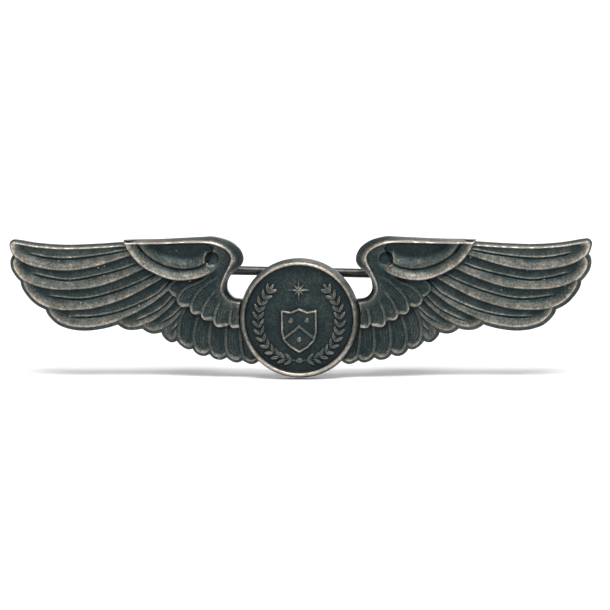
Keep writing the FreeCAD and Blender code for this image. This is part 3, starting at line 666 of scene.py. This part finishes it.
def build_disc():
    """The struck disc, with its bead's wear capped lower at the sides than at the top and foot, which is
    painted light where the ring faces light from above.
    """
    x, z, relief, outline = disc_relief()
    r = DISC_R - outline
    # painted light: the bead's cap is higher at its top and foot, where a ring faces light from above
    worn_and_lit = RIM_WEAR_AND_LIGHT[0] + (RIM_WEAR_AND_LIGHT[1] - RIM_WEAR_AND_LIGHT[0]) * (z / np.maximum(r, 1)) ** 2
    wear_and_light = worn(relief, outline)
    wear_and_light = np.where(r > BEAD_R - BEAD_HALF, np.minimum(wear_and_light, worn_and_lit), wear_and_light)
    disc = relief_mesh("struck_disc", x, z, relief, outline, wear_and_light, back=DISC_BACK)
    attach(disc, "badge")
    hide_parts("centre_disc")
    disc.data.materials.append(disc_silver)


def new_material(name):
    """A new material, its node tree and its shader."""
    material = bpy.data.materials.new(name)
    material.use_nodes = True
    tree = material.node_tree
    return material, tree, tree.nodes["Principled BSDF"]


def node(tree, kind, settings=(), **inputs):
    """A node with its settings and input values or links."""
    made = tree.nodes.new(kind)
    for key, value in dict(settings).items():
        setattr(made, key, value)
    for key, value in inputs.items():
        socket = made.inputs[int(key[1:]) if key[0] == "i" and key[1:].isdigit() else key.replace("_", " ")]
        if isinstance(value, bpy.types.NodeSocket):
            tree.links.new(value, socket)
        else:
            socket.default_value = value
    return made


def math_node(tree, operation, *values):
    """The output of a math node for the values or links given."""
    made = node(tree, "ShaderNodeMath", {"operation": operation})
    for socket, value in zip(made.inputs, values):
        if isinstance(value, bpy.types.NodeSocket):
            tree.links.new(value, socket)
        else:
            socket.default_value = value
    return made.outputs[0]


def noise(tree, place, scale, detail, roughness):
    """The 0 to 1 output of a noise texture."""
    made = node(tree, "ShaderNodeTexNoise", Vector=place, Scale=scale, Detail=detail, Roughness=roughness)
    return made.outputs["Fac"]


def about_zero(tree, value, amount):
    """A 0 to 1 value turned into a swing of amount either side of zero."""
    return math_node(tree, "MULTIPLY_ADD", value, amount, -0.5 * amount)


def ramp(tree, factor, stops):
    """A colour ramp through the (place, colour) stops."""
    made = node(tree, "ShaderNodeValToRGB", i0=factor)
    elements = made.color_ramp.elements
    while len(elements) < len(stops):
        elements.new(0.5)
    for element, (place, colour) in zip(elements, stops):
        element.position = place
        element.color = (*colour, 1)
    return made.outputs["Color"]


# The silver's noise textures: scale per metre, detail and roughness.
GRAIN_NOISE = (4200.0, 4.0, 0.75)
PATCH_NOISE = (1400.0, 3.0, 0.6)
BLOTCH_NOISE = (420.0, 6.0, 0.62)
TINT_NOISE = (900.0, 4.0, 0.7)
BACK_GRAIN_NOISE = (5000.0, 3.0, 0.7)
BACK_BLOTCH_NOISE = (700.0, 5.0, 0.6)

NICK_SCALE = 1500.0      # per metre
NICK_R = 0.1             # as a share of a cell
NICK_RARITY = 0.78       # only a cell whose random grey is above this has one
PATCHES = (1.2, 0.4)     # swing and least value of what multiplies the wear, before the gain
BLOTCH = 0.45            # how far blotches and grain swing the wear
GRAIN = 0.95
STRUCK_ROUGHNESS = (-0.2, 0.55)   # change with wear, and value where there is none
STRUCK_METALLIC = 0.65
STRUCK_BUMP = {"Strength": 0.5, "Distance": 0.00005}
BACK_EDGE_WEAR = 2.5     # how strongly the back's edges and creases differ from its flats
BACK_TONE_ENDS = (0.25, 0.75)     # amounts that are fully dark and fully light
BACK_ROUGHNESS_SWING = 0.2
BACK_METALLIC = 0.9
BACK_BUMP = {"Strength": 0.25, "Distance": 0.00003}


def nicks(tree, place):
    """Rare tiny bright nicks: 1 inside one, 0 elsewhere."""
    cells = node(tree, "ShaderNodeTexVoronoi", Vector=place, Scale=NICK_SCALE)
    small = math_node(tree, "LESS_THAN", cells.outputs["Distance"], NICK_R)
    rare = math_node(tree, "GREATER_THAN", cells.outputs["Color"], NICK_RARITY)
    return math_node(tree, "MULTIPLY", small, rare)


def struck_silver(name, gain, level):
    """Oxidised silver: dark in the hollows, worn bright where the relief stands proud."""
    material, tree, shader = new_material(name)
    place = node(tree, "ShaderNodeTexCoord").outputs["Object"]
    # the attribute carries wear and patina, with painted shade and highlights laid in
    wear_and_light = node(tree, "ShaderNodeAttribute", {"attribute_name": "wear_and_light"}).outputs["Fac"]
    grain = noise(tree, place, *GRAIN_NOISE)
    swing, least = PATCHES
    patches = noise(tree, place, *PATCH_NOISE)
    patches = math_node(tree, "MULTIPLY_ADD", patches, swing * gain, least * gain)
    blotches = noise(tree, place, *BLOTCH_NOISE)
    amount = math_node(tree, "MULTIPLY_ADD", wear_and_light, patches, level)
    amount = math_node(tree, "ADD", amount, about_zero(tree, blotches, BLOTCH))
    amount = math_node(tree, "ADD", amount, about_zero(tree, grain, GRAIN))
    amount = math_node(tree, "MAXIMUM", amount, nicks(tree, place))
    tint = ramp(tree, noise(tree, place, *TINT_NOISE), TINTS)
    toned = node(tree, "ShaderNodeMix", {"data_type": "RGBA", "blend_type": "MULTIPLY"},
                 i0=1.0, i6=ramp(tree, amount, TONES), i7=tint)
    tree.links.new(toned.outputs[2], shader.inputs["Base Color"])
    tree.links.new(math_node(tree, "MULTIPLY_ADD", amount, *STRUCK_ROUGHNESS), shader.inputs["Roughness"])
    shader.inputs["Metallic"].default_value = STRUCK_METALLIC
    bumps = node(tree, "ShaderNodeBump", **STRUCK_BUMP, Height=grain)
    tree.links.new(bumps.outputs["Normal"], shader.inputs["Normal"])
    return material


def plain_silver(name, dark, light, roughness):
    """Toned silver for the back's pieces: blotched tarnish, a fine grain and worn edges."""
    material, tree, shader = new_material(name)
    place = node(tree, "ShaderNodeTexCoord").outputs["Object"]
    grain = noise(tree, place, *BACK_GRAIN_NOISE)
    edge = about_zero(tree, node(tree, "ShaderNodeNewGeometry").outputs["Pointiness"], BACK_EDGE_WEAR)
    amount = math_node(tree, "ADD", noise(tree, place, *BACK_BLOTCH_NOISE), edge)
    colour = ramp(tree, amount, list(zip(BACK_TONE_ENDS, (dark, light))))
    tree.links.new(colour, shader.inputs["Base Color"])
    smoothest = roughness - 0.5 * BACK_ROUGHNESS_SWING
    rough = math_node(tree, "MULTIPLY_ADD", grain, BACK_ROUGHNESS_SWING, smoothest)
    tree.links.new(rough, shader.inputs["Roughness"])
    shader.inputs["Metallic"].default_value = BACK_METALLIC
    bumps = node(tree, "ShaderNodeBump", **BACK_BUMP, Height=grain)
    tree.links.new(bumps.outputs["Normal"], shader.inputs["Normal"])
    return material


# Base colour by wear, with painted shade and highlights laid into it, and slight warm and cool tints that
# multiply it.
TONES = [(0.0, (0.003, 0.008, 0.01)), (0.28, (0.011, 0.023, 0.025)), (0.5, (0.048, 0.061, 0.057)),
         (0.72, (0.162, 0.155, 0.132)), (1.0, (0.54, 0.475, 0.41))]
TINTS = [(0.32, (0.9, 1.0, 1.06)), (0.5, (1.0, 1.0, 1.0)), (0.68, (1.09, 0.99, 0.9))]
wing_silver = struck_silver("wing_silver", 1.75, 0.425)
disc_silver = struck_silver("disc_silver", 2.2, 0.345)
BACK_TONES = {           # dark and light base colour and roughness, by material slot
    "back_silver": ((0.03, 0.032, 0.034), (0.16, 0.15, 0.135), 0.45),
    "finding_silver": ((0.03, 0.032, 0.034), (0.16, 0.15, 0.135), 0.4),
    "rivet_silver": ((0.06, 0.06, 0.06), (0.28, 0.26, 0.24), 0.35),
    "solder": ((0.06, 0.06, 0.06), (0.22, 0.22, 0.22), 0.5),
    "pin_wire": ((0.012, 0.015, 0.017), (0.07, 0.07, 0.068), 0.4),
    "lock_silver": ((0.04, 0.042, 0.044), (0.24, 0.22, 0.2), 0.35),
}
BACK_FINISHES = {slot: plain_silver(slot, *tones) for slot, tones in BACK_TONES.items()}
STRUCK_NODES = ("left_wing", "right_wing", "centre_disc")   # shown by the struck meshes instead
EASED_EDGE = 0.00006     # m
EASED_ANGLE = math.radians(40)   # edges sharper than this are eased


def finish_back():
    """The pin back's pieces keep their CAD shapes: eased edges and their finishes."""
    slots = {part["node"]: part["material_slot"] for part in frame["record"]["subparts"]}
    for name, obj in frame["nodes"].items():
        if name in STRUCK_NODES:
            continue
        obj.data.materials.clear()
        obj.data.materials.append(BACK_FINISHES[slots[name]])
        bevel = obj.modifiers.new("eased_edges", "BEVEL")
        bevel.width = EASED_EDGE
        bevel.segments = 2
        bevel.limit_method = "ANGLE"
        bevel.angle_limit = EASED_ANGLE


FLOOR_GAP = 0.08         # the floor is this far under the disc, mm
FLOOR_R = 2.05           # m, flat out to here, then it sweeps up
SWEEP_R = 0.35
SWEEP_RINGS = 10
FLOOR_SIDES = 96
FLOOR_COLOUR = (0.93, 0.93, 0.93, 1)
FLOOR_ROUGHNESS = 0.9
# Each sun's name, the way it comes from, its strength and its softness in degrees.
SUNS = [("key", (0.08, -0.46, 0.88), 3.35, 35.0), ("rear", (0.25, 0.85, 0.45), 1.0, 50.0)]
WORLD_STRENGTH = 0.38
CAMERA_AZIMUTH = 4.5
CAMERA_ELEVATION = 6.5
CAMERA_ROLL = 0.55       # levels the badge in the picture
CAMERA_DISTANCE = 0.6
FRAME_WIDTH = 0.0795     # seen at that distance, m
AIM = Vector((0.00072, -0.002, 0.0017))


def build_floor():
    """A pale round floor just under the disc, that sweeps up all round so that its edge isn't seen."""
    points, faces = [], [list(range(FLOOR_SIDES))]
    for lean in np.linspace(0, math.pi / 2, SWEEP_RINGS):
        radius = FLOOR_R + SWEEP_R * math.sin(lean)
        height = cad_low.z - FLOOR_GAP * MM + SWEEP_R * (1 - math.cos(lean))
        first = len(points)
        for k in range(FLOOR_SIDES):
            turn = 2 * math.pi * k / FLOOR_SIDES
            points.append((radius * math.cos(turn), radius * math.sin(turn), height))
            if first:
                here, after = first + k, first + (k + 1) % FLOOR_SIDES
                faces.append([after - FLOOR_SIDES, here - FLOOR_SIDES, here, after])
    mesh = bpy.data.meshes.new("floor")
    mesh.from_pydata(points, [], faces)
    mesh.shade_smooth()
    floor = bpy.data.objects.new("floor", mesh)
    bpy.context.scene.collection.objects.link(floor)
    material, tree, shader = new_material("floor_paper")
    shader.inputs["Base Color"].default_value = FLOOR_COLOUR
    shader.inputs["Roughness"].default_value = FLOOR_ROUGHNESS
    floor.data.materials.append(material)


def build_lights():
    """Soft daylight from above the front, a weaker one from behind, and a plain white surround."""
    world = bpy.data.worlds.new("studio")
    world.use_nodes = True
    world.node_tree.nodes["Background"].inputs["Color"].default_value = (1, 1, 1, 1)
    world.node_tree.nodes["Background"].inputs["Strength"].default_value = WORLD_STRENGTH
    bpy.context.scene.world = world
    bpy.context.scene.view_settings.view_transform = "Standard"
    for name, come_from, strength, softness in SUNS:
        sun = bpy.data.lights.new(name, "SUN")
        sun.energy = strength
        sun.angle = math.radians(softness)
        lamp = bpy.data.objects.new(name, sun)
        lamp.rotation_euler = (-Vector(come_from)).to_track_quat("-Z", "Y").to_euler()
        bpy.context.scene.collection.objects.link(lamp)


def build_camera():
    """The camera, a little to the right of the badge and a little above it."""
    data = bpy.data.cameras.new("camera")
    data.lens = data.sensor_width * CAMERA_DISTANCE / FRAME_WIDTH
    data.clip_start = 0.01
    data.clip_end = 20
    cam = bpy.data.objects.new("camera", data)
    bpy.context.scene.collection.objects.link(cam)
    a, e = math.radians(CAMERA_AZIMUTH), math.radians(CAMERA_ELEVATION)
    back = Vector((math.sin(a) * math.cos(e), -math.cos(a) * math.cos(e), math.sin(e)))
    cam.location = AIM + back * CAMERA_DISTANCE
    turn = Quaternion(back, -math.radians(CAMERA_ROLL))
    cam.rotation_euler = (turn @ (-back).to_track_quat("-Z", "Y")).to_euler()
    bpy.context.scene.camera = cam


build_wings()
build_disc()
finish_back()
build_floor()
build_lights()
build_camera()
